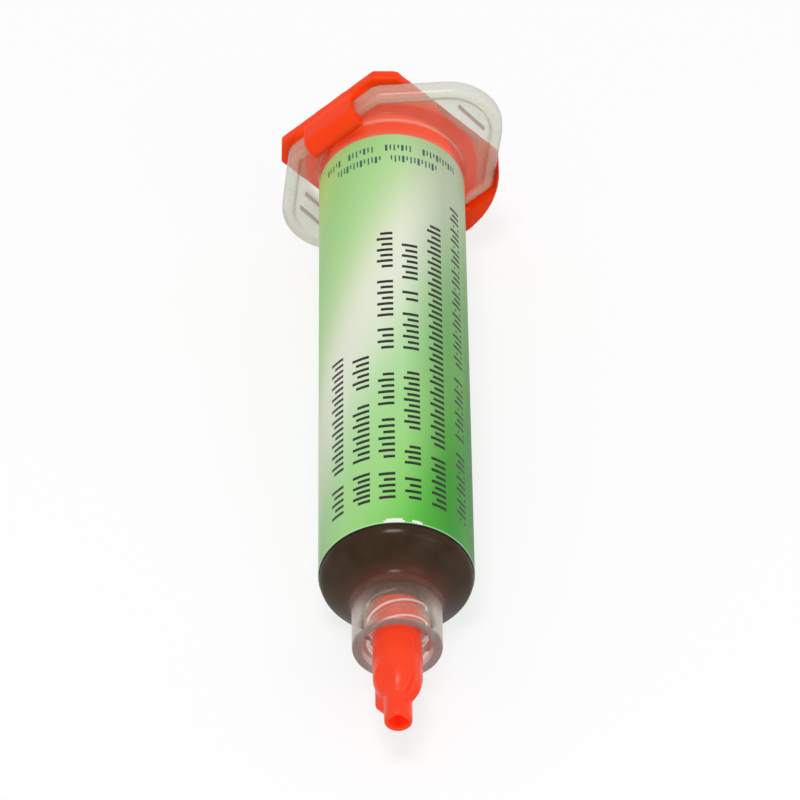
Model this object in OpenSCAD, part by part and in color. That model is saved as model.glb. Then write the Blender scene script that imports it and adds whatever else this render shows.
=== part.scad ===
// Flux syringe: a 10 ml dispensing barrel with its label, flux, wiper piston, end cap and tip cap.
// Every piece is drawn standing on the barrel's flange: z = 0 is the flange's back face, the tip
// points up, x is the flange's long way and y is across it. laid() then puts it on the table.

/* [Barrel] */
// Outside diameter of the tube
tube_d = 18.75; // [18:0.05:19]
// Inside diameter of the tube
bore_d = 16.1; // [15.6:0.1:16.4]
// Height from the flange's back face to where the shoulder's rounding starts
tube_h = 74.7; // [60:0.1:78]
// Slope of the shoulder, from square to the axis
shoulder_slope = 40; // [30:1:50]
// Radius that rounds the tube into the shoulder
shoulder_r = 1.8; // [1:0.1:3]
// Length of the whole barrel, from the flange's back face to the lock collar's rim
barrel_h = 86.3; // [85.5:0.1:90]

/* [Lock collar and luer tip] */
// Outside diameter of the lock collar
collar_d = 10.9; // [10:0.1:11.5]
// Inside diameter of the lock collar at the root of its thread
collar_bore_d = 8; // [7.9:0.05:8.2]
// Depth of the collar from its rim
collar_depth = 6.6; // [5.5:0.1:6.8]
// How far the luer tip stands out of the collar
luer_out = 2.1; // [1.5:0.1:3]
// Diameter of the luer tip at its end
luer_d = 3.93; // [3.9:0.01:3.99]
// Diameter of the channel through the luer tip
channel_d = 2.2; // [1.6:0.1:2.4]

/* [Flange] */
// Thickness of the finger flange at its rim
flange_t = 2.3; // [2:0.1:2.6]
// Thickness of the flange inside its rim
flange_floor_t = 1.3; // [1:0.1:1.8]
// Width of the rim
rim_w = 1.5; // [1:0.1:2]
// Reach of each ear from the axis
ear_reach = 17.2; // [16.5:0.1:17.6]
// Distance of the flange's long flats from the axis
flat_reach = 11.3; // [10.6:0.05:11.3]
// Distance of the slanting edges from the axis
slant_reach = 13.6; // [13.3:0.05:13.7]
// Direction in which a slanting edge faces, from the long way
slant_angle = 50; // [48:0.5:52]
// Rounding of the ears
ear_r = 7; // [5:0.5:7]
// Rounding of the corners between the slanting edges and the flats
flat_corner_r = 2.5; // [2:0.1:3.5]
// Places of the two grip ribs on each ear, from the axis
rib_places = [12, 14.1]; // [8:0.1:15.5]
// Lengths of the two grip ribs
rib_lengths = [8.3, 5.4]; // [3:0.1:12]

/* [Label] */
// Height of the label's lower edge
label_from = 5.2; // [5:0.1:8]
// Height of the label's upper edge
label_to = 74.2; // [60:0.1:74.5]
// Thickness of the label film
label_t = 0.1; // [0.05:0.05:0.2]

/* [Filling and piston] */
// Height of the piston's back rim
piston_from = 10.5; // [8:0.5:60]
// Length of the piston's skirt, without its nose
piston_h = 11; // [9:0.5:14]
// Running clearance of the piston's wipers in the bore
piston_gap = 0.05; // [0.02:0.01:0.1]
// Gap that keeps the filling's surface clear of the walls
fill_gap = 0.02; // [0.01:0.01:0.05]

/* [End cap] */
// Thickness of the end cap's plate
plate_t = 1.45; // [1.2:0.05:2]
// Half length of the plate, along the flange's long way
plate_half = 10.5; // [9.5:0.1:11]
// Distance of the plate's straight edge from the axis, on the hook's side
plate_straight = 12.15; // [12.1:0.05:12.6]
// Size of the chamfers beside the straight edge
plate_chamfer = 2.25; // [1.5:0.05:3]
// Radius of the round side, opposite the hook
round_side_r = 14.05; // [13.9:0.05:14.4]
// Height of the round side's wall above the flange's back face
wall_h = 3; // [2.8:0.1:4]
// Width of the hook
hook_w = 8.5; // [6:0.1:9]
// Height of the hook above the flange's back face
hook_h = 4.2; // [4:0.1:4.8]
// Distance of the hook's lip from the axis
lip_reach = 9.75; // [9.7:0.05:10]
// Width of the small lip on the round side
small_lip_w = 6.8; // [5:0.1:8]
// Room left between the cap and the flange
cap_gap = 0.1; // [0.05:0.05:0.2]

/* [Tip cap] */
// Diameter of the cap's body
cap_d = 6; // [5.4:0.1:6.2]
// Diameter of its foot inside the lock collar
foot_d = 6.9; // [6.4:0.1:7]
// Reach of the two locking lugs from the axis
lug_reach = 3.9; // [3.6:0.05:3.92]
// Height of the foot's lower face above the collar's floor
foot_lift = 0.6; // [0.3:0.1:1]
// Thickness of the foot
foot_t = 1.8; // [1.2:0.1:2.4]
// Clearance of the socket on the luer tip
socket_gap = 0.05; // [0.02:0.01:0.1]
// Height of the cap's shoulder above the collar's rim
cap_shoulder = 4.6; // [4:0.1:6]
// Height of the root of the stub above the collar's rim
stub_from = 8; // [7:0.1:9]
// Height of the end of the stub above the collar's rim
stub_to = 11.7; // [10:0.1:13]
// Diameter of the stub
stub_d = 3.4; // [3:0.1:3.6]
// Width of the hollow in the stub's end
hollow_w = 2.2; // [1.6:0.1:2.3]
// Depth of the hollow
hollow_depth = 3; // [1:0.5:3]
// Reach of the two wings from the axis
wing_reach = 3.12; // [3.04:0.02:3.2]
// Thickness of the wings
wing_t = 1.35; // [1:0.05:1.6]
// Height of the end of the wings above the collar's rim
wing_to = 8.9; // [8:0.1:10]

/* [How it lies] */
// Turn of the tip cap's wings about the axis, from level
wings_turn = 41; // [0:1:90]
// Turn of its locking lugs about the axis, from level
lugs_turn = 0; // [0:1:90]

/* [Hidden] */
$fn = 96;
eps = 0.01;

tube_r = tube_d / 2;
bore_r = bore_d / 2;
wall = tube_r - bore_r;
collar_r = collar_d / 2;
collar_bore_r = collar_bore_d / 2;
collar_floor = barrel_h - collar_depth;
channel_r = channel_d / 2;
label_r = tube_r + label_t;

// Shoulder: the rounding's centre, where it meets the slope, and where the slope meets the collar
round_centre = [tube_r - shoulder_r, tube_h];
slope_start = round_centre + shoulder_r * [sin(shoulder_slope), cos(shoulder_slope)];
slope_end = [collar_r, slope_start.y + (slope_start.x - collar_r) * tan(shoulder_slope)];
// Inside, the slope runs parallel to the outer one, a wall's thickness below it, and then flattens
// so that the collar keeps its floor
inner_slope_start = [bore_r, slope_end.y - wall / cos(shoulder_slope)
    - (bore_r - collar_r) * tan(shoulder_slope)];
collar_floor_t = 1.1;
outlet_rise = 0.4;
funnel_z = collar_floor - collar_floor_t;
funnel_r = bore_r - (funnel_z - inner_slope_start.y) / tan(shoulder_slope);
outlet = [channel_r, funnel_z + outlet_rise];

// Luer tip: the taper of such fittings is 6 percent on the diameter
luer_taper = 0.03;
luer_end = barrel_h + luer_out;
luer_r = luer_d / 2;
luer_root_r = luer_r + luer_taper * (luer_end - collar_floor);

piston_to = piston_from + piston_h;
piston_r = bore_r - piston_gap;
wiper_h = 1.6;
wiper_groove = 0.7;
nose_h = (piston_r - funnel_r) * tan(shoulder_slope);
nose_crown = 0.3;
piston_wall = 1.3;
piston_crown_t = 2.2;

rib_t = 0.45;
root_flare_t = 0.6;
root_flare_to = 4.4;

plate_middle = -cap_gap - plate_t / 2;
hook_wall = 0.75;
hook_nose_r = 1.9;
lip_gap = 0.1;
lip_bevel = 0.3;
small_lip_r = 0.5;
small_lip_slant = 0.6;
pocket_gap = 0.15;
sharp_r = 0.1;

cap_r = cap_d / 2;
stub_r = stub_d / 2;
foot_from = collar_floor + foot_lift;
foot_to = foot_from + foot_t;
foot_slope = 0.6;
// The lugs are thin enough for the groove of the lock collar's thread
lug_w = 2;
lug_t = 1;
lug_from = foot_from + 1.47;
socket_spare = 0.3;
socket_to = luer_end + socket_spare;
facet_reach = 2.85;
wing_end_r = 1.5;
wing_root = 1.5;
wing_root_r = 0.3;
stub_bevel = 0.15;
hollow_corner_r = 0.8;

// The syringe lies on the label's upper edge, the end cap's round side and one ear of the flange
lay_tilt = atan((round_side_r - label_r) / (label_to - wall_h));
rest_height = label_r * cos(lay_tilt) + label_to * sin(lay_tilt);
ear_y = (slant_reach - ear_reach * cos(slant_angle)) / sin(slant_angle);
ear_centre = [ear_reach - ear_r, ear_y - ear_r * tan(slant_angle / 2)];
ear_touch = round_side_r + (wall_h - flange_t) * tan(lay_tilt);
flange_turn = 90 - atan2(ear_centre.y, ear_centre.x) - acos((ear_touch - ear_r) / norm(ear_centre));
front_y = -(barrel_h + stub_to) * cos(lay_tilt) - stub_r * sin(lay_tilt);
back_y = (plate_t + cap_gap) * cos(lay_tilt) + round_side_r * sin(lay_tilt);

module laid(turn) {
    translate([0, -(front_y + back_y) / 2, rest_height])
        rotate([90 + lay_tilt, 0, 0])
            rotate([0, 0, turn])
                children();
}

function unit(v) = v / norm(v);
function wrap(points, i) = let(p = points[(i + len(points)) % len(points)]) [p.x, p.y];
function arm(points, i, step) = unit(wrap(points, i + step) - wrap(points, i));
function half_angle(points, i) = acos(arm(points, i, -1) * arm(points, i, 1)) / 2;

// A convex outline whose corners [x, y, r] are rounded with true arcs
module rounded_outline(corners) {
    count = len(corners);
    polygon([for (i = [0 : count - 1]) for (step = [-1, 1])
        wrap(corners, i) + arm(corners, i, step) * corners[i].z / tan(half_angle(corners, i))]);
    for (i = [0 : count - 1])
        translate(wrap(corners, i) + unit(arm(corners, i, -1) + arm(corners, i, 1))
            * corners[i].z / sin(half_angle(corners, i)))
            circle(r = corners[i].z);
}

// The flange's outline, moved outward by grow
module flange_outline(grow = 0) {
    ear = ear_reach + grow;
    flat = flat_reach + grow;
    slant = slant_reach + grow;
    ear_y = (slant - ear * cos(slant_angle)) / sin(slant_angle);
    flat_x = (slant - flat * sin(slant_angle)) / cos(slant_angle);
    rounded_outline([
        [ear, -ear_y, ear_r + grow], [ear, ear_y, ear_r + grow],
        [flat_x, flat, flat_corner_r + grow], [-flat_x, flat, flat_corner_r + grow],
        [-ear, ear_y, ear_r + grow], [-ear, -ear_y, ear_r + grow],
        [-flat_x, -flat, flat_corner_r + grow], [flat_x, -flat, flat_corner_r + grow]
    ]);
}

module flange() {
    difference() {
        linear_extrude(flange_t) flange_outline();
        translate([0, 0, flange_floor_t]) linear_extrude(flange_t) flange_outline(-rim_w);
    }
    for (side = [-1, 1], k = [0, 1])
        translate([side * rib_places[k], 0, flange_floor_t - eps])
            grip_rib(rib_lengths[k], flange_t - flange_floor_t);
    cylinder(r1 = tube_r + root_flare_t, r2 = tube_r, h = root_flare_to);
}

module grip_rib(length, height) {
    straight = length - rib_t;
    translate([-rib_t / 2, -straight / 2, 0]) cube([rib_t, straight, height]);
    for (end = [-1, 1])
        translate([0, end * straight / 2, 0]) cylinder(d = rib_t, h = height, $fn = 24);
}

module barrel_outside() {
    rotate_extrude() {
        polygon([[0, 0], [tube_r, 0], [tube_r, tube_h], slope_start, slope_end,
            [collar_r, barrel_h], [0, barrel_h]]);
        translate(round_centre) circle(r = shoulder_r);
    }
    flange();
}

// The hollow that the filling and the piston share, with its channel out through the tip
module barrel_inside() {
    rotate_extrude()
        polygon([[0, -1], [bore_r, -1], inner_slope_start, [funnel_r, funnel_z], outlet,
            [channel_r, luer_end + 1], [0, luer_end + 1]]);
}

module barrel() {
    color([0.87, 0.87, 0.83, 0.5])
        laid(flange_turn)
            difference() {
                union() {
                    difference() {
                        barrel_outside();
                        translate([0, 0, collar_floor]) cylinder(r = collar_bore_r, h = collar_depth + 1);
                    }
                    translate([0, 0, collar_floor - eps])
                        cylinder(r1 = luer_root_r, r2 = luer_r, h = luer_end - collar_floor + eps);
                }
                barrel_inside();
            }
}

module label() {
    color([0.66, 0.83, 0.56])
        laid(flange_turn)
            difference() {
                translate([0, 0, label_from]) cylinder(r = label_r, h = label_to - label_from);
                translate([0, 0, label_from - 1]) cylinder(r = tube_r, h = label_to - label_from + 2);
            }
}

// The filling reaches from the piston's nose to the end of the luer tip
module flux() {
    fill_r = bore_r - fill_gap;
    color([0.24, 0.19, 0.15])
        laid(flange_turn)
            rotate_extrude()
                polygon([[0, piston_to + nose_h + nose_crown + fill_gap],
                    [funnel_r, piston_to + nose_h + fill_gap], [fill_r, piston_to + fill_gap],
                    [fill_r, inner_slope_start.y - fill_gap],
                    [funnel_r, funnel_z] - [fill_gap, fill_gap], outlet - [fill_gap, fill_gap],
                    [channel_r - fill_gap, luer_end - fill_gap], [0, luer_end - fill_gap]]);
}

// A hollow wiper piston: two wipers, a groove between them, and a nose that fits the shoulder
module piston() {
    groove_r = piston_r - wiper_groove;
    inner_r = groove_r - piston_wall;
    crown = piston_to - piston_crown_t;
    color([0.93, 0.92, 0.88])
        laid(flange_turn)
            rotate_extrude()
                polygon([[inner_r, piston_from], [piston_r, piston_from],
                    [piston_r, piston_from + wiper_h], [groove_r, piston_from + wiper_h + wiper_groove],
                    [groove_r, piston_to - wiper_h - wiper_groove], [piston_r, piston_to - wiper_h],
                    [piston_r, piston_to], [funnel_r, piston_to + nose_h],
                    [0, piston_to + nose_h + nose_crown], [0, crown + nose_h / 2], [inner_r, crown]]);
}

// The plate's outline: straight and chamfered on the hook's side, round on the other
module plate_outline() {
    chamfer_x = plate_half - plate_chamfer;
    chamfer_y = plate_straight - plate_chamfer;
    polygon([[-plate_half, 0], [plate_half, 0], [plate_half, chamfer_y], [chamfer_x, plate_straight],
        [-chamfer_x, plate_straight], [-plate_half, chamfer_y]]);
    round_side();
}

module round_side() {
    intersection() {
        circle(r = round_side_r, $fn = 192);
        translate([-plate_half, -round_side_r]) square([2 * plate_half, round_side_r]);
    }
}

// The wall on the round side, open toward -x so that the cap can be slid off the flange
module round_wall() {
    difference() {
        round_side();
        flange_outline(pocket_gap);
        translate([-ear_reach, -flat_reach - pocket_gap]) square([ear_reach, ear_reach]);
    }
}

module small_lip() {
    root = flat_reach + pocket_gap + hook_wall;
    front_x = small_lip_w / 2 - small_lip_slant;
    rounded_outline([
        [-small_lip_w / 2, -root, sharp_r], [small_lip_w / 2, -root, sharp_r],
        [front_x, -lip_reach, small_lip_r], [-front_x, -lip_reach, small_lip_r]
    ]);
}

// Profile of the hook in y and z: a thin wall, a rounded nose, and a lip over the flange's rim
module hook_profile() {
    lip_under = flange_t + lip_gap;
    wall_y = plate_straight - hook_wall;
    nose_centre = [plate_straight - hook_nose_r, hook_h - hook_nose_r];
    intersection() {
        union() {
            translate(nose_centre) circle(r = hook_nose_r);
            translate([lip_reach, lip_under])
                square([nose_centre.x - lip_reach, hook_h - lip_under]);
            translate([wall_y, plate_middle]) square([hook_wall, nose_centre.y - plate_middle]);
        }
        polygon([[wall_y, plate_middle], [plate_straight, plate_middle], [plate_straight, hook_h],
            [lip_reach + lip_bevel, hook_h], [lip_reach, hook_h - lip_bevel],
            [lip_reach, lip_under], [wall_y, lip_under]]);
    }
}

module end_cap() {
    color([1, 0.24, 0.1])
        laid(flange_turn) {
            translate([0, 0, -cap_gap - plate_t]) linear_extrude(plate_t) plate_outline();
            translate([0, 0, plate_middle]) linear_extrude(wall_h - plate_middle) round_wall();
            translate([0, 0, flange_t + lip_gap])
                linear_extrude(wall_h - flange_t - lip_gap)
                    small_lip();
            translate([hook_w / 2, 0, 0])
                rotate([90, 0, -90])
                    mirror([1, 0])
                        linear_extrude(hook_w) hook_profile();
        }
}

// Outline of the cap turned about the axis: foot, body, rounded shoulder and stub
module tip_cap_outline() {
    shoulder_z = barrel_h + cap_shoulder;
    end_z = barrel_h + stub_to;
    shoulder_curve = [for (t = [0 : 1 / 8 : 1])
        [stub_r + (cap_r - stub_r) * (1 - t * t), shoulder_z + (stub_from - cap_shoulder) * t]];
    foot = [[0, foot_from], [foot_d / 2, foot_from], [foot_d / 2, foot_to],
        [cap_r, foot_to + foot_slope]];
    stub_end = [[stub_r, end_z - stub_bevel], [stub_r - stub_bevel, end_z], [0, end_z]];
    polygon(concat(foot, shoulder_curve, stub_end));
}

module wings() {
    wing_from = barrel_h - wing_root;
    end_z = barrel_h + wing_to;
    rotate([90, 0, 0])
        translate([0, 0, -wing_t / 2])
            linear_extrude(wing_t)
                rounded_outline([
                    [-wing_reach, wing_from, wing_root_r], [wing_reach, wing_from, wing_root_r],
                    [wing_reach, end_z, wing_end_r], [-wing_reach, end_z, wing_end_r]
                ]);
}

// The two broad sides of the shoulder are cut to flats that slope in to the stub
module shoulder_flats() {
    for (side = [0, 180])
        rotate([0, 0, side])
            translate([0, facet_reach, barrel_h + cap_shoulder])
                rotate([atan((facet_reach - stub_r) / (stub_from - cap_shoulder)), 0, 0])
                    translate([-cap_d, 0, 0]) cube([2 * cap_d, cap_d, stub_from - cap_shoulder]);
}

module lugs() {
    intersection() {
        cylinder(r = lug_reach, h = barrel_h);
        translate([-lug_reach, -lug_w / 2, lug_from]) cube([2 * lug_reach, lug_w, lug_t]);
    }
}

module tip_cap() {
    end_z = barrel_h + stub_to;
    socket_mouth_r = luer_r + luer_taper * (luer_end - foot_from) + socket_gap;
    socket_end_r = luer_r - luer_taper * (socket_to - luer_end) + socket_gap;
    color([1, 0.2, 0.08])
        laid(wings_turn)
            difference() {
                union() {
                    difference() {
                        rotate_extrude() tip_cap_outline();
                        shoulder_flats();
                    }
                    wings();
                    rotate([0, 0, lugs_turn - wings_turn]) lugs();
                }
                translate([0, 0, foot_from - eps])
                    cylinder(r1 = socket_mouth_r, r2 = socket_end_r, h = socket_to - foot_from + eps);
                translate([0, 0, end_z - hollow_depth])
                    linear_extrude(hollow_depth + 1)
                        rounded_outline([for (c = [[-1, -1], [1, -1], [1, 1], [-1, 1]])
                            [c.x * hollow_w / 2, c.y * hollow_w / 2, hollow_corner_r]]);
            }
}

barrel();
label();
flux();
piston();
end_cap();
tip_cap();
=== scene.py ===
import math

import bmesh
import bpy
from mathutils import Matrix, Vector


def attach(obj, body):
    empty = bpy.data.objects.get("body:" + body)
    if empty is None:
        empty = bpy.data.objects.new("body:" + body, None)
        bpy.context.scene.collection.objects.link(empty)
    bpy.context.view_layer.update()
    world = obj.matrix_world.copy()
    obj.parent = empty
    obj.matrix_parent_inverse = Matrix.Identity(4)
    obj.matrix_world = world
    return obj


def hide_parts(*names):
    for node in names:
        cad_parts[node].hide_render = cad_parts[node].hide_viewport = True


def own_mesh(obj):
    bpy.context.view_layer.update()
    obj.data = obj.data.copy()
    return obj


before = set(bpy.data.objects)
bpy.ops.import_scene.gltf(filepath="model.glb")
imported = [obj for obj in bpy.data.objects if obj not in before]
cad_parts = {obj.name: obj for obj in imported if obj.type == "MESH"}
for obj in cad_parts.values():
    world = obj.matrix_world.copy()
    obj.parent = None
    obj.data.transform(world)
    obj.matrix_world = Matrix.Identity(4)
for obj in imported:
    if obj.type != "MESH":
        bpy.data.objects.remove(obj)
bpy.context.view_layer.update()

# Places that part.scad works out, in millimetres and degrees
TILT = 3.67652
MIDDLE_Y = 47.72979
REST_HEIGHT = 14.21345
FLANGE_TURN = 43.75362
TUBE_R, BORE_R, LABEL_R = 9.375, 8.05, 9.475
LABEL_FROM, LABEL_TO = 5.2, 74.2
FILM_END = 74.7
BARREL_H = 86.3
COLLAR_FLOOR = 79.7
COLLAR_R, COLLAR_BORE_R = 5.45, 4.0
PISTON_TO, PISTON_R = 21.5, 8.0
SLOPE_START = 74.92
FUNNEL_Z, FUNNEL_R = 78.6, 3.666
CHANNEL_R = 1.1
LUER_END = 88.4
WET = 0.03
MM = 0.001


def laid(turn=0.0):
    """The matrix that lays a piece drawn standing on the flange, in mm, on the table in metres."""
    return (Matrix.Translation((0, MIDDLE_Y * MM, REST_HEIGHT * MM))
            @ Matrix.Rotation(math.radians(90 + TILT), 4, "X")
            @ Matrix.Rotation(math.radians(turn), 4, "Z")
            @ Matrix.Scale(MM, 4))


# Materials

def material(name):
    mat = bpy.data.materials.new(name)
    mat.use_nodes = True
    nodes, links = mat.node_tree.nodes, mat.node_tree.links
    nodes.clear()
    out = nodes.new("ShaderNodeOutputMaterial")
    bsdf = nodes.new("ShaderNodeBsdfPrincipled")
    links.new(bsdf.outputs[0], out.inputs["Surface"])
    return mat, nodes, links, bsdf


def set_sockets(node, **values):
    for key, value in values.items():
        node.inputs[key.replace("_", " ")].default_value = value


def part_coords(nodes, links):
    """Millimetres in the standing frame: x right, y up in the tube's section, z toward the tip."""
    where = nodes.new("ShaderNodeTexCoord")
    back = nodes.new("ShaderNodeMapping")
    back.vector_type = "TEXTURE"
    back.inputs["Location"].default_value = (0, MIDDLE_Y * MM, REST_HEIGHT * MM)
    back.inputs["Rotation"].default_value = (math.radians(90 + TILT), 0, 0)
    back.inputs["Scale"].default_value = (MM, MM, MM)
    links.new(where.outputs["Object"], back.inputs["Vector"])
    return back.outputs["Vector"]


def separated(nodes, links, vector):
    """The vector's X, Y and Z outputs."""
    split = nodes.new("ShaderNodeSeparateXYZ")
    links.new(vector, split.inputs[0])
    return split.outputs["X"], split.outputs["Y"], split.outputs["Z"]


def reach_from_axis(nodes, links, x, y):
    """The distance from the tube's axis."""
    across = nodes.new("ShaderNodeCombineXYZ")
    links.new(x, across.inputs["X"])
    links.new(y, across.inputs["Y"])
    length = nodes.new("ShaderNodeVectorMath")
    length.operation = "LENGTH"
    links.new(across.outputs[0], length.inputs[0])
    return length.outputs["Value"]


def noise(nodes, links, vector, scale, detail=3.0):
    node = nodes.new("ShaderNodeTexNoise")
    node.inputs["Scale"].default_value = scale
    node.inputs["Detail"].default_value = detail
    node.inputs["Roughness"].default_value = 0.55
    links.new(vector, node.inputs["Vector"])
    return node.outputs["Fac"]


def remap(nodes, links, value, low, high, from_low=0.3, from_high=0.7):
    """Low at from_low and high at from_high, held beyond them; the usual ends are those of a noise."""
    node = nodes.new("ShaderNodeMapRange")
    ends = {"From Min": from_low, "From Max": from_high, "To Min": low, "To Max": high}
    for key, end in ends.items():
        if isinstance(end, (int, float)):
            node.inputs[key].default_value = end
        else:
            links.new(end, node.inputs[key])
    links.new(value, node.inputs["Value"])
    return node.outputs["Result"]


def rising(nodes, links, value, start, end):
    """0 up to start and 1 from end on."""
    return remap(nodes, links, value, 0.0, 1.0, start, end)


def falling(nodes, links, value, start, end):
    """1 up to start and 0 from end on."""
    return remap(nodes, links, value, 1.0, 0.0, start, end)


def calc(nodes, links, operation, a, b=None, c=None):
    node = nodes.new("ShaderNodeMath")
    node.operation = operation
    for socket, value in zip(node.inputs, (a, b, c)):
        if value is None:
            continue
        if isinstance(value, (int, float)):
            socket.default_value = value
        else:
            links.new(value, socket)
    return node.outputs[0]


def product(nodes, links, *values):
    whole = values[0]
    for value in values[1:]:
        whole = calc(nodes, links, "MULTIPLY", whole, value)
    return whole


def mix_colour(nodes, links, factor, a, b, blend="MIX"):
    node = nodes.new("ShaderNodeMix")
    node.data_type = "RGBA"
    node.blend_type = blend
    for key, value in {"Factor": factor, "A": a, "B": b}.items():
        if isinstance(value, (tuple, float)):
            node.inputs[key].default_value = value
        else:
            links.new(value, node.inputs[key])
    return node.outputs["Result"]


def mix_shader(nodes, links, factor, a, b):
    node = nodes.new("ShaderNodeMixShader")
    for socket, value in zip(node.inputs, (factor, a, b)):
        links.new(value, socket)
    return node.outputs[0]


def show(nodes, links, shader):
    """Sends the shader to the material's output, in place of the plain one."""
    out = next(n for n in nodes if n.type == "OUTPUT_MATERIAL")
    links.new(shader, out.inputs["Surface"])


def bump(nodes, links, bsdf, height, distance, strength):
    node = nodes.new("ShaderNodeBump")
    node.inputs["Strength"].default_value = strength
    node.inputs["Distance"].default_value = distance
    links.new(height, node.inputs["Height"])
    links.new(node.outputs["Normal"], bsdf.inputs["Normal"])


def srgb(r, g, b):
    """A colour given in 0 to 255 display values, as linear RGBA."""
    return tuple((c / 255 / 12.92) if c / 255 <= 0.04045 else ((c / 255 + 0.055) / 1.055) ** 2.4
                 for c in (r, g, b)) + (1.0,)


# Where the barrel's plastic changes its look: ranges of height, and of reach from the axis
WET_FROM, WET_TO = (60.0, 62.0), (78.9, 80.7)
COLLAR_FROM, PALER_FROM, NECK_FROM = (77.5, 79.0), (80.0, 83.5), (77.5, 79.3)
WALLS_FROM = (80.5, 82.5)
FLANGE_TO, ROOT_TO = (3.0, 5.0), (4.0, 6.0)
BRIM_FROM, BRIM_TO = (BARREL_H - 0.25, BARREL_H - 0.05), (BARREL_H + 0.1, BARREL_H + 0.2)
BEVEL_FROM, BEVEL_REACH = (BARREL_H - 0.65, BARREL_H - 0.5), (3.95, 4.02)
BRIM_REACH = (4.2, 4.3)
FLANK_FROM, FLANK_REACH = (79.9, 80.3), 3.78
ROOT_REACH, FILLET_Z = (11.0, 11.5), 2.6
FILLET_IN, FILLET_OUT = (9.0, 9.2), (9.9, 10.1)
PLASTIC_IOR = 1.49


def natural_plastic():
    """Milky and half clear. It is clearest beside the tube, on the flange, and dark at the shoulder,
    where the wall is wet with flux."""
    mat, nodes, links, bsdf = material("natural_plastic")
    where = part_coords(nodes, links)
    set_sockets(bsdf, IOR=PLASTIC_IOR, Specular_IOR_Level=0.0, Roughness=0.5)
    x, y, z = separated(nodes, links, where)
    reach = reach_from_axis(nodes, links, x, y)
    facing = nodes.new("ShaderNodeLayerWeight")
    facing.inputs["Blend"].default_value = 0.5
    aslant = facing.outputs["Facing"]
    rays = nodes.new("ShaderNodeLightPath")
    shadow_ray = rays.outputs["Is Shadow Ray"]

    # Its colour
    milky = mix_colour(nodes, links, noise(nodes, links, where, 0.25),
                       srgb(213, 207, 190), srgb(202, 194, 177))
    rosy = mix_colour(nodes, links, rising(nodes, links, z, *PALER_FROM),
                      srgb(148, 90, 64), srgb(192, 178, 165))
    milky = mix_colour(nodes, links, rising(nodes, links, z, *COLLAR_FROM), milky, rosy)
    # The collar's end face, but not the luer tip beyond it
    brim = product(nodes, links, rising(nodes, links, z, *BRIM_FROM), falling(nodes, links, z, *BRIM_TO),
                   rising(nodes, links, reach, *BRIM_REACH))
    milky = mix_colour(nodes, links, brim, milky, srgb(140, 122, 116))
    # A painted highlight: the bevel of its mouth is paler
    bevel = product(nodes, links, rising(nodes, links, z, *BEVEL_FROM),
                    falling(nodes, links, reach, *BRIM_REACH), rising(nodes, links, reach, *BEVEL_REACH))
    milky = mix_colour(nodes, links, bevel, milky, srgb(204, 184, 176))
    # Painted shade: seen along its skin the flange is thick, and darker there
    edge = product(nodes, links, rising(nodes, links, aslant, 0.45, 0.95),
                   falling(nodes, links, z, *FLANGE_TO))
    milky = mix_colour(nodes, links, edge, milky, (0.7, 0.7, 0.7, 1), "MULTIPLY")
    # Painted highlights: the flanks of the lock thread show as pale lines through the collar
    flank = calc(nodes, links, "ABSOLUTE", calc(nodes, links, "SUBTRACT", reach, FLANK_REACH))
    flank = product(nodes, links, falling(nodes, links, flank, 0.1, 0.18),
                    remap(nodes, links, z, 0.0, 0.85, *FLANK_FROM))
    milky = mix_colour(nodes, links, flank, milky, srgb(255, 240, 232))
    # Brown where it is wet with flux, and reddish round the neck, where the tip cap's colour shines in
    wet = product(nodes, links, rising(nodes, links, z, *WET_FROM), falling(nodes, links, z, *WET_TO))
    brown = mix_colour(nodes, links, noise(nodes, links, where, 0.35),
                       srgb(38, 22, 7), srgb(66, 48, 28))
    brown = mix_colour(nodes, links, rising(nodes, links, z, *NECK_FROM), brown, srgb(88, 48, 36))
    links.new(mix_colour(nodes, links, wet, milky, brown), bsdf.inputs["Base Color"])

    # How much of it is milky, and how much is clear
    dry = remap(nodes, links, aslant, 0.22, 0.6, 0.1, 0.95)
    walls = remap(nodes, links, aslant, 0.12, 0.92, 0.35, 0.6)
    walls = calc(nodes, links, "MAXIMUM", walls, product(nodes, links, brim, 0.8))
    walls = calc(nodes, links, "MAXIMUM", walls, product(nodes, links, bevel, 0.66))
    dry = remap(nodes, links, rising(nodes, links, z, *WALLS_FROM), dry, walls, 0.0, 1.0)
    # Nearly clear in the tube's bare end
    root = product(nodes, links, falling(nodes, links, reach, *ROOT_REACH),
                   falling(nodes, links, z, *ROOT_TO))
    bare = remap(nodes, links, z, 0.3, 0.05, FILLET_Z, FILLET_Z + 0.5)
    thin = product(nodes, links, dry, remap(nodes, links, root, 1.0, bare, 0.0, 1.0))
    # A painted highlight: a pale line where the tube's fillet turns
    ring = calc(nodes, links, "ABSOLUTE", calc(nodes, links, "SUBTRACT", z, FILLET_Z))
    ring = product(nodes, links, remap(nodes, links, ring, 0.42, 0.0, 0.1, 0.4),
                   falling(nodes, links, reach, *FILLET_OUT), rising(nodes, links, reach, *FILLET_IN))
    thin = calc(nodes, links, "MAXIMUM", thin, ring)
    # The flange's raised rim is thicker
    beyond = calc(nodes, links, "MAXIMUM", calc(nodes, links, "SUBTRACT", 10.9, reach),
                  calc(nodes, links, "SUBTRACT", z, 3.0))
    rim = product(nodes, links, remap(nodes, links, z, 0.0, 0.45, 1.3, 2.2),
                  falling(nodes, links, beyond, 0.0, 0.4))
    thin = calc(nodes, links, "MAXIMUM", thin, rim)
    body = calc(nodes, links, "MAXIMUM", calc(nodes, links, "MAXIMUM", thin, wet), flank)
    clear = nodes.new("ShaderNodeBsdfTransparent")
    clear.inputs["Color"].default_value = (0.965, 0.988, 0.96, 1)
    # It casts only a faint shadow
    lit = calc(nodes, links, "MULTIPLY_ADD", shadow_ray, -0.85, 1.0)
    mixed = mix_shader(nodes, links, product(nodes, links, body, lit), clear.outputs[0], bsdf.outputs[0])

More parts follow.
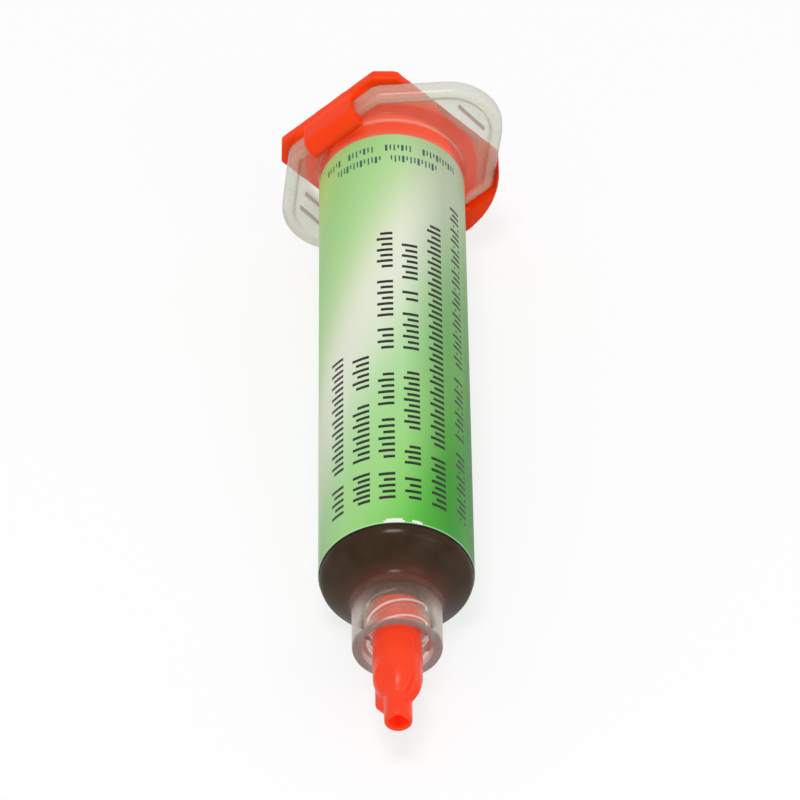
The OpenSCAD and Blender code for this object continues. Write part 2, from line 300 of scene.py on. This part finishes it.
    # Its skin shines, seen from outside
    shine = nodes.new("ShaderNodeBsdfAnisotropic")
    sheen = remap(nodes, links, noise(nodes, links, where, 1.2), 0.24, 0.36)
    links.new(calc(nodes, links, "MULTIPLY_ADD", wet, -0.06, sheen), shine.inputs["Roughness"])
    fresnel = nodes.new("ShaderNodeFresnel")
    fresnel.inputs["IOR"].default_value = PLASTIC_IOR
    geometry = nodes.new("ShaderNodeNewGeometry")
    outside = calc(nodes, links, "SUBTRACT", 1.0, geometry.outputs["Backfacing"])
    amount = product(nodes, links, fresnel.outputs[0], outside,
                     remap(nodes, links, wet, 1.0, 0.5, 0.0, 1.0),
                     calc(nodes, links, "SUBTRACT", 1.0, shadow_ray))
    show(nodes, links, mix_shader(nodes, links, amount, mixed, shine.outputs[0]))
    return mat


def red_plastic(name, base, deep, gloss, painted_glow_at):
    """Orange-red. The last argument says where a painted glow, emission that stands in for light
    scattered in the plastic, keeps a shaded place bright, behind the milky flange or in the tip cap's
    hollow: (z from, z to), the most reach from the axis, the strength, and how many times stronger it
    is within the tube's bore."""
    mat, nodes, links, bsdf = material(name)
    where = part_coords(nodes, links)
    set_sockets(bsdf, IOR=1.45, Specular_IOR_Level=gloss)
    cloud = noise(nodes, links, where, 0.4)
    tone = mix_colour(nodes, links, cloud, base, deep)
    links.new(tone, bsdf.inputs["Base Color"])
    links.new(remap(nodes, links, noise(nodes, links, where, 1.0), 0.26, 0.38),
              bsdf.inputs["Roughness"])
    (z_from, z_to), most_reach, strength, core = painted_glow_at
    x, y, z = separated(nodes, links, where)
    reach = reach_from_axis(nodes, links, x, y)
    # Painted glow: emission in the plastic's own colour keeps these shaded places bright
    glow = product(nodes, links, remap(nodes, links, z, 0.0, strength, z_from, z_from + 0.1),
                   falling(nodes, links, z, z_to - 0.1, z_to),
                   falling(nodes, links, reach, most_reach, most_reach + 0.4),
                   remap(nodes, links, reach, core, 1.0, BORE_R - 0.15, BORE_R + 0.25))
    links.new(glow, bsdf.inputs["Emission Strength"])
    links.new(tone, bsdf.inputs["Emission Color"])
    return mat


def flux_material():
    mat, nodes, links, bsdf = material("flux_gel")
    where = part_coords(nodes, links)
    cloud = noise(nodes, links, where, 0.35, 4.0)
    links.new(mix_colour(nodes, links, cloud, srgb(30, 20, 14), srgb(50, 37, 28)),
              bsdf.inputs["Base Color"])
    links.new(remap(nodes, links, noise(nodes, links, where, 1.1), 0.15, 0.35),
              bsdf.inputs["Roughness"])
    return mat


def piston_material():
    mat, nodes, links, bsdf = material("piston_plastic")
    where = part_coords(nodes, links)
    cloud = noise(nodes, links, where, 0.5)
    links.new(mix_colour(nodes, links, cloud, srgb(238, 236, 226), srgb(226, 223, 210)),
              bsdf.inputs["Base Color"])
    links.new(remap(nodes, links, noise(nodes, links, where, 2.0), 0.4, 0.55),
              bsdf.inputs["Roughness"])
    return mat


# The label's colour runs in one slanting gradient: green, a pale band, and light green again
BAND_AT = 40.0
BAND_SLANT = 0.35
BAND_SPAN = 120.0
LABEL_TONES = [
    (-120, (150, 206, 116)), (-95, (200, 225, 185)), (-80, (176, 214, 152)), (-66, (100, 188, 84)),
    (-52, (82, 182, 62)), (-44, (92, 187, 66)), (-38, (122, 199, 94)), (-31, (149, 208, 121)),
    (-25, (157, 210, 131)), (-18, (162, 212, 142)), (-11, (180, 216, 164)), (-5, (205, 224, 188)),
    (2, (223, 227, 211)), (10, (224, 229, 207)), (18, (192, 216, 165)), (26, (168, 212, 142)),
    (34, (160, 207, 132)), (45, (152, 202, 122)), (85, (205, 228, 184)), (120, (120, 196, 88)),
]


def label_material():
    mat, nodes, links, bsdf = material("label_film")
    set_sockets(bsdf, Specular_IOR_Level=0.22)
    where = part_coords(nodes, links)
    x, y, z = separated(nodes, links, where)
    around = calc(nodes, links, "ARCTAN2", x, y)
    from_front = calc(nodes, links, "SUBTRACT", LABEL_TO, z)
    slanted = calc(nodes, links, "MULTIPLY_ADD", around, -BAND_SLANT * 180 / math.pi, from_front)
    place = calc(nodes, links, "SUBTRACT", slanted, BAND_AT)
    share = calc(nodes, links, "MULTIPLY_ADD", place, 0.5 / BAND_SPAN, 0.5)
    ramp = nodes.new("ShaderNodeValToRGB")
    ramp.color_ramp.interpolation = "B_SPLINE"
    elements = ramp.color_ramp.elements
    while len(elements) > 1:
        elements.remove(elements[-1])
    for k, (at, tone) in enumerate(LABEL_TONES):
        spot = elements[0] if k == 0 else elements.new(0.5 + 0.5 * at / BAND_SPAN)
        spot.position = 0.5 + 0.5 * at / BAND_SPAN
        spot.color = srgb(*tone)
    links.new(share, ramp.inputs[0])
    # A warmer corner at the back, on the left
    corner = product(nodes, links, falling(nodes, links, around, -1.35, -0.6),
                     rising(nodes, links, from_front, 56.0, 68.0))
    toned = mix_colour(nodes, links, corner, ramp.outputs["Color"], srgb(176, 204, 84))
    # Darker on the right: mostly painted shade where the tube turns from the light, partly the print's own
    # deeper green; also darker on the left of the front
    right = rising(nodes, links, around, 0.12, 0.75)
    deep = mix_colour(nodes, links, rising(nodes, links, from_front, 34.0, 56.0),
                      (0.46, 0.6, 0.46, 1), (0.65, 0.71, 0.62, 1))
    toned = mix_colour(nodes, links, right, toned, deep, "MULTIPLY")
    # Painted shade, deeper still on the far right of the front
    far_right_shade = product(nodes, links, rising(nodes, links, around, 1.08, 1.3),
                        falling(nodes, links, from_front, 34.0, 56.0))
    toned = mix_colour(nodes, links, far_right_shade, toned, (0.62, 0.76, 0.62, 1), "MULTIPLY")
    left = product(nodes, links, falling(nodes, links, around, -1.25, -0.75),
                   falling(nodes, links, from_front, 6.0, 34.0))
    toned = mix_colour(nodes, links, left, toned, (0.72, 0.8, 0.7, 1), "MULTIPLY")
    # A painted shadow along the film's cut edge, and a pale line beside it
    from_end = calc(nodes, links, "SUBTRACT", FILM_END, z)
    toned = mix_colour(nodes, links, remap(nodes, links, from_end, 0.55, 0.0, 0.3, 0.5),
                       toned, srgb(206, 246, 190))
    toned = mix_colour(nodes, links, falling(nodes, links, from_end, 0.16, 0.3),
                       toned, srgb(22, 26, 16))
    links.new(toned, bsdf.inputs["Base Color"])
    links.new(remap(nodes, links, noise(nodes, links, where, 1.5), 0.4, 0.52),
              bsdf.inputs["Roughness"])
    bump(nodes, links, bsdf, noise(nodes, links, where, 0.8), 0.00004, 0.4)
    return mat


def rib_material():
    """The grip ribs bend the light, so they show as brownish lines: painted shade in the ribs' colour."""
    mat, nodes, links, bsdf = material("rib_plastic")
    where = part_coords(nodes, links)
    x, _, _ = separated(nodes, links, where)
    brown = mix_colour(nodes, links, noise(nodes, links, where, 0.6),
                       srgb(196, 158, 142), srgb(182, 144, 128))
    # Painted light: those of the left ear are fainter
    left = falling(nodes, links, x, -2.0, 2.0)
    links.new(mix_colour(nodes, links, left, brown, srgb(200, 188, 174)), bsdf.inputs["Base Color"])
    set_sockets(bsdf, Roughness=0.35, Alpha=0.5)
    return mat


def ink_material(name, dark, light):
    mat, nodes, links, bsdf = material(name)
    where = part_coords(nodes, links)
    cloud = noise(nodes, links, where, 2.5)
    links.new(mix_colour(nodes, links, cloud, dark, light), bsdf.inputs["Base Color"])
    bsdf.inputs["Roughness"].default_value = 0.45
    return mat


NATURAL = natural_plastic()
# Each red's last tuple places its painted glow: behind the milky flange for the end cap, in the hollow for
# the tip cap
CAP_RED = red_plastic("end_cap_plastic", srgb(252, 66, 10), srgb(246, 58, 6), 0.16,
                      ((-0.3, 0.3), 13.0, 0.25, 2.6))
TIP_RED = red_plastic("tip_cap_plastic", srgb(249, 70, 34), srgb(243, 60, 26), 0.26,
                      ((94.5, 97.9), 0.9, 0.5, 1.0))
FLUX = flux_material()
PISTON = piston_material()
LABEL = label_material()
RIB = rib_material()
INK = ink_material("label_ink", srgb(14, 20, 12), srgb(30, 40, 28))
FLECK = ink_material("fleck_film", srgb(236, 240, 230), srgb(226, 232, 220))
GREEN_INK = ink_material("green_ink", srgb(18, 78, 78), srgb(50, 110, 104))


# The piston keeps the CAD's form
piston_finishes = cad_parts["piston"].data.materials
piston_finishes.clear()
piston_finishes.append(PISTON)


# Mesh helpers

def piece(name, mesh_maker, mat, body, turn=0.0, smooth=True):
    """A new piece: mesh_maker fills a bmesh, drawn standing on the flange in millimetres."""
    mesh = bpy.data.meshes.new(name)
    bm = bmesh.new()
    mesh_maker(bm)
    bmesh.ops.transform(bm, matrix=laid(turn), verts=bm.verts)
    bmesh.ops.recalc_face_normals(bm, faces=bm.faces)
    for face in bm.faces:
        face.smooth = smooth
    bm.to_mesh(mesh)
    bm.free()
    obj = bpy.data.objects.new(name, mesh)
    bpy.context.scene.collection.objects.link(obj)
    obj.data.materials.append(mat)
    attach(obj, body)
    return obj


def lathe(bm, profile, steps=96):
    """A closed solid of revolution about the axis; profile runs as (r, z) from axis to axis."""
    rings = []
    for r, z in profile:
        if r < 1e-6:
            rings.append([bm.verts.new((0, 0, z))])
        else:
            rings.append([bm.verts.new((r * math.cos(2 * math.pi * k / steps),
                                        r * math.sin(2 * math.pi * k / steps), z))
                          for k in range(steps)])
    for low, high in zip(rings, rings[1:]):
        for k in range(steps):
            n = (k + 1) % steps
            corners = [low[k % len(low)], low[n % len(low)], high[n % len(high)], high[k % len(high)]]
            unique = []
            for corner in corners:
                if corner not in unique:
                    unique.append(corner)
            if len(unique) > 2:
                bm.faces.new(unique)


def stitch(bm, rings):
    """Faces between each two rings that follow one another, all with the same count of points."""
    for low, high in zip(rings, rings[1:]):
        for k in range(len(low)):
            n = (k + 1) % len(low)
            bm.faces.new((low[k], low[n], high[n], high[k]))


def tube(bm, profile, steps=128):
    """A closed ring-shaped solid; profile runs as (r, z) once round its section."""
    turns = [2 * math.pi * k / steps for k in range(steps)]
    rings = [[bm.verts.new((r * math.sin(a), r * math.cos(a), z)) for a in turns] for r, z in profile]
    stitch(bm, rings + rings[:1])


# The barrel: one closed mesh of rings, from the flange's back face round to the bore and back

FLANGE_T, FLOOR_T = 2.3, 1.3
EAR_REACH, FLAT_REACH, SLANT_REACH, SLANT = 17.2, 11.3, 13.6, 50.0
EAR_R, FLAT_CORNER_R = 7.0, 2.5
ARC_STEPS, EDGE_STEPS = 10, 12


def arc_points(across, along, radius, first, last, steps=5):
    """Points along an arc about a centre, between two angles in degrees."""
    turns = [math.radians(first + (last - first) * k / steps) for k in range(steps + 1)]
    return [(across + radius * math.cos(a), along + radius * math.sin(a)) for a in turns]


def flange_corners():
    """Centres, radii and first normal angles of the outline's corners, all of them convex."""
    c, s = math.cos(math.radians(SLANT)), math.sin(math.radians(SLANT))
    ear_y = (SLANT_REACH - EAR_REACH * c) / s
    flat_x = (SLANT_REACH - FLAT_REACH * s) / c
    ear = (EAR_REACH - EAR_R, ear_y - EAR_R * math.tan(math.radians(SLANT / 2)))
    rest = 90 - SLANT
    flat = (flat_x - FLAT_CORNER_R * math.tan(math.radians(rest / 2)), FLAT_REACH - FLAT_CORNER_R)
    corners = []
    for x, y, first in ((1, 1, 0), (-1, 1, 90), (-1, -1, 180), (1, -1, 270)):
        ear_arc = ((x * ear[0], y * ear[1]), EAR_R, SLANT)
        flat_arc = ((x * flat[0], y * flat[1]), FLAT_CORNER_R, rest)
        at = first
        for centre, radius, sweep in ((ear_arc, flat_arc) if x * y > 0 else (flat_arc, ear_arc)):
            corners.append((centre, radius, at, sweep))
            at += sweep
    return corners


def flange_ring(grow):
    """The flange's outline moved outward by grow, always with the same count of points."""
    arcs = [arc_points(centre[0], centre[1], radius + grow, first, first + sweep, ARC_STEPS)
            for centre, radius, first, sweep in flange_corners()]
    points = []
    for arc, following in zip(arcs, arcs[1:] + arcs[:1]):
        points += arc
        (x0, y0), (x1, y1) = arc[-1], following[0]
        points += [(x0 + (x1 - x0) * k / EDGE_STEPS, y0 + (y1 - y0) * k / EDGE_STEPS)
                   for k in range(1, EDGE_STEPS)]
    return points


ANGLES = [math.atan2(y, x) for x, y in flange_ring(0)]


def round_ring(radius):
    return [(radius * math.cos(a), radius * math.sin(a)) for a in ANGLES]


def at_least(ring, radius):
    """The ring, kept outside a circle about the axis."""
    kept = []
    for (x, y), a in zip(ring, ANGLES):
        if math.hypot(x, y) < radius:
            x, y = radius * math.cos(a), radius * math.sin(a)
        kept.append((x, y))
    return kept


THREAD_LEAD = 5.08
THREAD_AT = 82.27
THREAD_H = 0.5
THREAD_TOP, THREAD_FOOT = 0.3, 0.56
LUG_WAY = 20.0
# Where the bevel of the collar's mouth ends
MOUTH_Z = BARREL_H - 0.6


def limited(value):
    return min(1.0, max(0.0, value))


def thread_height(angle, z):
    """How far the lock thread stands in from the collar's bore. It has two starts, is right-handed,
    and is left open where the tip cap's lugs slide out."""
    angle += math.radians(FLANGE_TURN)
    degrees = math.degrees(angle) % 180
    off_level = min(degrees, 180 - degrees)
    fade = limited((off_level - LUG_WAY) / 5.0)
    pitch = THREAD_LEAD / 2
    along = z - THREAD_AT - THREAD_LEAD * (math.degrees(angle) - 90) / 360
    along -= pitch * round(along / pitch)
    side = limited((THREAD_FOOT - abs(along)) / (THREAD_FOOT - THREAD_TOP))
    ends = limited((MOUTH_Z - z) / 0.25) * limited((z - COLLAR_FLOOR - 0.3) / 0.3)
    return THREAD_H * fade * ends * side * side * (3 - 2 * side)


def thread_ring(z):
    ring = []
    for a in ANGLES:
        r = COLLAR_BORE_R - thread_height(a, z)
        ring.append((r * math.cos(a), r * math.sin(a)))
    return ring


def barrel_rings():
    flare = TUBE_R + 0.6 * (1 - FLOOR_T / 4.4)
    rings = [(round_ring(BORE_R + 0.25), 0.0)]
    rim = (arc_points(-0.45, 0.45, 0.45, -90, 0) + arc_points(-0.85, FLANGE_T - 0.85, 0.85, 0, 90)
           + arc_points(-1.15, FLANGE_T - 0.35, 0.35, 90, 160)
           + [(-1.62, FLOOR_T + 0.3), (-1.72, FLOOR_T + 0.08), (-1.95, FLOOR_T)])
    for grow, z in rim:
        rings.append((at_least(flange_ring(grow), flare + 0.12 - 0.03 * max(0, grow + 1.0)), z))
    rings += [(round_ring(flare + 0.05), FLOOR_T + 0.02), (round_ring(flare - 0.02), FLOOR_T + 0.12),
              (round_ring(TUBE_R + 0.28), 2.3), (round_ring(TUBE_R + 0.1), 3.4), (round_ring(TUBE_R), 4.4)]
    rings += [(round_ring(TUBE_R), z) for z in (12, 30, 50, 70, 74.0)]
    rings += [(round_ring(r), z) for r, z in arc_points(TUBE_R - 1.8, 74.7, 1.8, 0, 50, 10)]
    rings += [(round_ring(r), z) for r, z in (
        (7.7, 76.95), (6.7, 77.78), (6.05, 78.33), (5.71, 78.68), (5.55, 79.02), (5.47, 79.5),
        (COLLAR_R, 80.5), (COLLAR_R, 83.5), (COLLAR_R, BARREL_H - 0.3), (COLLAR_R - 0.08, BARREL_H - 0.1),
        (COLLAR_R - 0.25, BARREL_H), (COLLAR_BORE_R + 0.32, BARREL_H),
        (COLLAR_BORE_R + 0.27, BARREL_H - 0.04), (COLLAR_BORE_R + 0.04, BARREL_H - 0.54))]
    steps = 64
    for k in range(steps + 1):
        z = MOUTH_Z + (COLLAR_FLOOR + 0.15 - MOUTH_Z) * k / steps
        rings.append((thread_ring(z), z))
    rings += [(round_ring(r), z) for r, z in (
        (COLLAR_BORE_R - 0.15, COLLAR_FLOOR), (2.4, COLLAR_FLOOR), (2.24, COLLAR_FLOOR + 0.15),
        (1.985, LUER_END - 0.2), (1.9, LUER_END), (1.25, LUER_END), (CHANNEL_R, LUER_END - 0.15),
        (CHANNEL_R, FUNNEL_Z + 0.4), (FUNNEL_R, FUNNEL_Z), (BORE_R, SLOPE_START), (BORE_R, 70),
        (BORE_R, 50), (BORE_R, 30), (BORE_R, 12), (BORE_R, 0.25))]
    return rings


def barrel_mesh(bm):
    made = [[bm.verts.new((x, y, z)) for x, y in ring] for ring, z in barrel_rings()]
    stitch(bm, made + made[:1])


# Each ear's ribs: distance from the axis and length
RIBS = [(11.5, 8.0), (13.6, 5.2)]
RIB_HALF, RIB_H = 0.12, 0.4
RIB_TURN = -3.5


def rib_mesh(bm):
    """The grip ribs: low bars with round ends and crowns, two on each ear."""
    top = FLOOR_T + RIB_H
    levels = ((0, FLOOR_T - 0.2), (0, top - 0.1), (0.02, top - 0.04), (0.05, top - 0.01), (0.09, top))
    for side in (-1, 1):
        for place, length in RIBS:
            straight = length / 2 - RIB_HALF
            layers = []
            for inset, z in levels:
                r = RIB_HALF - inset
                ring = []
                for end, first in ((1, 0), (-1, 180)):
                    for k in range(9):
                        a = math.radians(first + 180 * k / 8)
                        x, y = side * place + r * math.cos(a), end * straight + r * math.sin(a)
                        ring.append(bm.verts.new((x, y, z)))
                layers.append(ring)
            stitch(bm, layers)
            bm.faces.new(layers[0][::-1])
            bm.faces.new(layers[-1])


def modified(obj, *modifiers):
    """Adds modifiers (type, settings) and applies them all to the mesh."""
    for kind, settings in modifiers:
        mod = obj.modifiers.new(kind.lower(), kind)
        for key, value in settings.items():
            setattr(mod, key, value)
    graph = bpy.context.evaluated_depsgraph_get()
    mesh = bpy.data.meshes.new_from_object(obj.evaluated_get(graph))
    obj.modifiers.clear()
    obj.data = mesh


barrel = piece("barrel_shell", barrel_mesh, NATURAL, "barrel_body", FLANGE_TURN)
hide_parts("barrel")
piece("grip_ribs", rib_mesh, RIB, "barrel_body", FLANGE_TURN + RIB_TURN)


# The label's film: as in the CAD, but its front edge reaches the shoulder and thins toward it
FILM_IN = TUBE_R + 0.004
film = piece("label_wrap", lambda bm: tube(bm, [
    (FILM_IN, LABEL_FROM), (LABEL_R - 0.02, LABEL_FROM), (LABEL_R, LABEL_FROM + 0.03),
    *((LABEL_R, z) for z in (LABEL_FROM + 0.2, 20, 40, 60, LABEL_TO - 0.2, LABEL_TO)),
    (LABEL_R - 0.033, FILM_END - 0.03), (LABEL_R - 0.05, FILM_END), (FILM_IN, FILM_END),
]), LABEL, "barrel_body")
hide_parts("label")


# The caps: the CAD's own forms with their edges rounded

def softened(node, name, mat, body, voxel, rounds):
    """A copy of the CAD piece, remeshed finely and smoothed, so that its edges are rounded."""
    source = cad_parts[node]
    mesh = source.data.copy()
    obj = bpy.data.objects.new(name, mesh)
    bpy.context.scene.collection.objects.link(obj)
    mesh.materials.clear()
    mesh.materials.append(mat)
    bm = bmesh.new()
    bm.from_mesh(mesh)
    bmesh.ops.remove_doubles(bm, verts=bm.verts, dist=0.002 * MM)
    bm.to_mesh(mesh)
    bm.free()
    modified(obj, ("REMESH", {"mode": "VOXEL", "voxel_size": voxel * MM, "use_smooth_shade": True}),
             ("SMOOTH", {"factor": 0.5, "iterations": rounds}))
    for face in obj.data.polygons:
        face.use_smooth = True
    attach(obj, body)
    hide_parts(node)
    return obj


softened("end_cap", "end_cap_soft", CAP_RED, "end_cap_body", 0.14, 10)
softened("tip_cap", "tip_cap_soft", TIP_RED, "tip_cap_body", 0.1, 30)


# The flux: a sleeve ahead of the piston, and the lining that stays in the tip.
# Both leave room for the piston's nose at the end of its travel
fill_r = BORE_R + WET
lining_r = 7.7
sleeve = piece("flux_column", lambda bm: tube(bm, [
    (PISTON_R + 0.01, PISTON_TO + 0.02), (fill_r, PISTON_TO + 0.02),
    (fill_r, SLOPE_START), (lining_r, SLOPE_START),
]), FLUX, "barrel_body")
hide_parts("flux")
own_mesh(sleeve)
piece("flux_nose", lambda bm: lathe(bm, [
    (0, FUNNEL_Z - 0.08), (FUNNEL_R, FUNNEL_Z - 0.34), (lining_r, SLOPE_START - 0.05),
    (fill_r, SLOPE_START - 0.05), (fill_r, SLOPE_START + WET),
    (FUNNEL_R + WET, FUNNEL_Z + WET), (CHANNEL_R + WET, FUNNEL_Z + 0.4 + WET),
    (CHANNEL_R + WET, LUER_END - 0.15), (0, LUER_END - 0.15),
]), FLUX, "barrel_body")


# Print on the label: rows of plain strokes with no letters, and two short rows round the back end
INK_R = LABEL_R + 0.012
INK_FOOT_R = LABEL_R - 0.01
PATCH_STEP = 4


def patch(bm, a_from, a_to, s_from, s_to):
    """A thin closed patch of ink between two angles (degrees, from the top toward +x) and two
    distances from the label's front."""
    count = max(1, int(abs(a_to - a_from) / PATCH_STEP))
    corners = ((INK_FOOT_R, s_from), (INK_R, s_from), (INK_R, s_to), (INK_FOOT_R, s_to))
    sections = []
    for k in range(count + 1):
        a = math.radians(a_from + (a_to - a_from) * k / count)
        sections.append([bm.verts.new((r * math.sin(a), r * math.cos(a), LABEL_TO - s))
                         for r, s in corners])
    stitch(bm, sections)
    bm.faces.new(sections[0][::-1])
    bm.faces.new(sections[-1])


# Each row: its two edges as angles, and its words' ends as distances from the label's front
ROWS = [
    (-54.6, -42.0, [(3.3, 8.6), (10.6, 30.6)]),
    (-33.2, -19.4, [(3.4, 8.8), (10.6, 20.6), (23.0, 29.0)]),
    (-12.6, -0.4, [(3.5, 8.4), (10.3, 17.6), (19.4, 25.5), (29.2, 33.4), (35.0, 42.0), (43.8, 50.8)]),
    (6.6, 18.8, [(3.5, 7.6), (9.4, 13.0), (15.4, 25.8), (29.2, 36.2), (37.8, 40.2), (41.8, 48.7)]),
    (27.2, 39.6, [(3.3, 12.0), (13.6, 53.4)]),
    (51.2, 62.4, [(3.5, 15.2), (17.4, 28.2), (30.2, 59.2)]),
]
STROKE = 0.46
STEP = 0.98


def print_rows(bm):
    for row, (a_from, a_to, words) in enumerate(ROWS):
        for word, (start, end) in enumerate(words):
            count = max(1, round((end - start) / STEP))
            for k in range(count):
                at = start + (end - start) * (k + 0.5) / count
                tall = (k * 7 + row * 3 + word * 5) % 4
                low = a_from + (a_to - a_from) * (0.0, 0.22, 0.0, 0.3)[tall]
                patch(bm, low, a_to, at - STROKE / 2, at + STROKE / 2)


piece("label_print", print_rows, INK, "barrel_body", smooth=False)


def print_flecks(bm):
    """Two unprinted flecks at the label's front edge."""
    patch(bm, -9.5, 6.0, -0.24, 0.1)
    patch(bm, -7.5, 4.5, 0.08, 0.4)
    patch(bm, 11.5, 17.0, -0.12, 0.28)
    patch(bm, 15.0, 19.0, -0.26, 0.14)


piece("edge_flecks", print_flecks, FLECK, "barrel_body", smooth=False)

# Two short rows of small marks round the label's back end: distance, height, and words' end angles
BACK_ROWS = [(66.4, 1.15, [(-61, -44), (-37, -14), (-6, 16), (24, 58)]),
             (64.3, 1.25, [(-48, -8), (-2, 38)])]
BACK_STEP = 3.1


def print_back_rows(bm):
    for row, (at, tall, words) in enumerate(BACK_ROWS):
        for first, last in words:
            count = round((last - first) / BACK_STEP)
            for k in range(count):
                a = first + (last - first) * (k + 0.5) / count
                half = 0.95 if (k * 5 + row) % 4 == 0 else 0.55
                top = at - tall / 2 + (0, 0.45, 0, 0.2)[(k * 3 + row) % 4]
                patch(bm, a - half, a + half, top, at + tall / 2)


piece("back_print", print_back_rows, GREEN_INK, "barrel_body", smooth=False)


# Stage, lights and camera

FLOOR_WHITE = 0.75
WORLD_STRENGTH = 0.6


def stage_floor():
    """A pale floor that shows white to the camera and keeps the object's shadow."""
    mesh = bpy.data.meshes.new("floor")
    bm = bmesh.new()
    bmesh.ops.create_grid(bm, x_segments=1, y_segments=1, size=3.0)
    bm.to_mesh(mesh)
    bm.free()
    obj = bpy.data.objects.new("floor", mesh)
    bpy.context.scene.collection.objects.link(obj)
    mat, nodes, links, bsdf = material("floor")
    bsdf.inputs["Base Color"].default_value = (0.93, 0.93, 0.93, 1)
    bsdf.inputs["Roughness"].default_value = 0.9
    white = nodes.new("ShaderNodeEmission")
    white.inputs["Strength"].default_value = 1.0
    white.inputs["Color"].default_value = (1, 1, 1, 1)
    rays = nodes.new("ShaderNodeLightPath")
    seen = calc(nodes, links, "MAXIMUM", rays.outputs["Is Camera Ray"], rays.outputs["Is Glossy Ray"])
    seen = calc(nodes, links, "MAXIMUM", seen, rays.outputs["Is Transmission Ray"])
    whitened = product(nodes, links, seen, FLOOR_WHITE)
    show(nodes, links, mix_shader(nodes, links, whitened, bsdf.outputs[0], white.outputs[0]))
    obj.data.materials.append(mat)


def world_light(strength):
    """White to the camera, and of the given strength as light."""
    world = bpy.data.worlds.new("world")
    bpy.context.scene.world = world
    world.use_nodes = True
    nodes, links = world.node_tree.nodes, world.node_tree.links
    nodes.clear()
    out = nodes.new("ShaderNodeOutputWorld")
    glow = nodes.new("ShaderNodeBackground")
    white = nodes.new("ShaderNodeBackground")
    glow.inputs["Color"].default_value = (1, 1, 1, 1)
    glow.inputs["Strength"].default_value = strength
    white.inputs["Color"].default_value = (1, 1, 1, 1)
    white.inputs["Strength"].default_value = 1.0
    rays = nodes.new("ShaderNodeLightPath")
    mixed = mix_shader(nodes, links, rays.outputs["Is Camera Ray"], glow.outputs[0], white.outputs[0])
    links.new(mixed, out.inputs["Surface"])


def area_light(name, at, size, watts):
    data = bpy.data.lights.new(name, "AREA")
    data.shape = "DISK"
    data.size = size
    data.energy = watts
    obj = bpy.data.objects.new(name, data)
    obj.location = at
    obj.rotation_euler = (-Vector(at)).to_track_quat("-Z", "Y").to_euler()
    bpy.context.scene.collection.objects.link(obj)


stage_floor()
world_light(WORLD_STRENGTH)
area_light("key", (-0.06, -0.25, 0.8), 0.3, 3.0)
area_light("fill", (0.5, -0.5, 0.5), 0.5, 0.6)

CAMERA_AT = Vector((-3.475, -475.42, 431.79)) * MM
CAMERA_FORWARD = Vector((0.00669, 0.751508, -0.659691))
CAMERA_UP = Vector((0.00668, 0.659657, 0.751536))
CAMERA_LENS, CAMERA_SHIFT_X = 229.5, -0.0009
camera_data = bpy.data.cameras.new("camera")
camera_data.sensor_width = 36.0
camera_data.lens = CAMERA_LENS
camera_data.shift_x = CAMERA_SHIFT_X
camera_data.clip_start = 0.01
camera_data.clip_end = 20.0
camera = bpy.data.objects.new("camera", camera_data)
bpy.context.scene.collection.objects.link(camera)
back_axis = -CAMERA_FORWARD.normalized()
right_axis = CAMERA_UP.cross(back_axis).normalized()
up_axis = back_axis.cross(right_axis)
camera_turn = Matrix((right_axis, up_axis, back_axis)).transposed().to_4x4()
camera.matrix_world = Matrix.Translation(CAMERA_AT) @ camera_turn
bpy.context.scene.camera = camera

bpy.context.scene.view_settings.view_transform = "Standard"
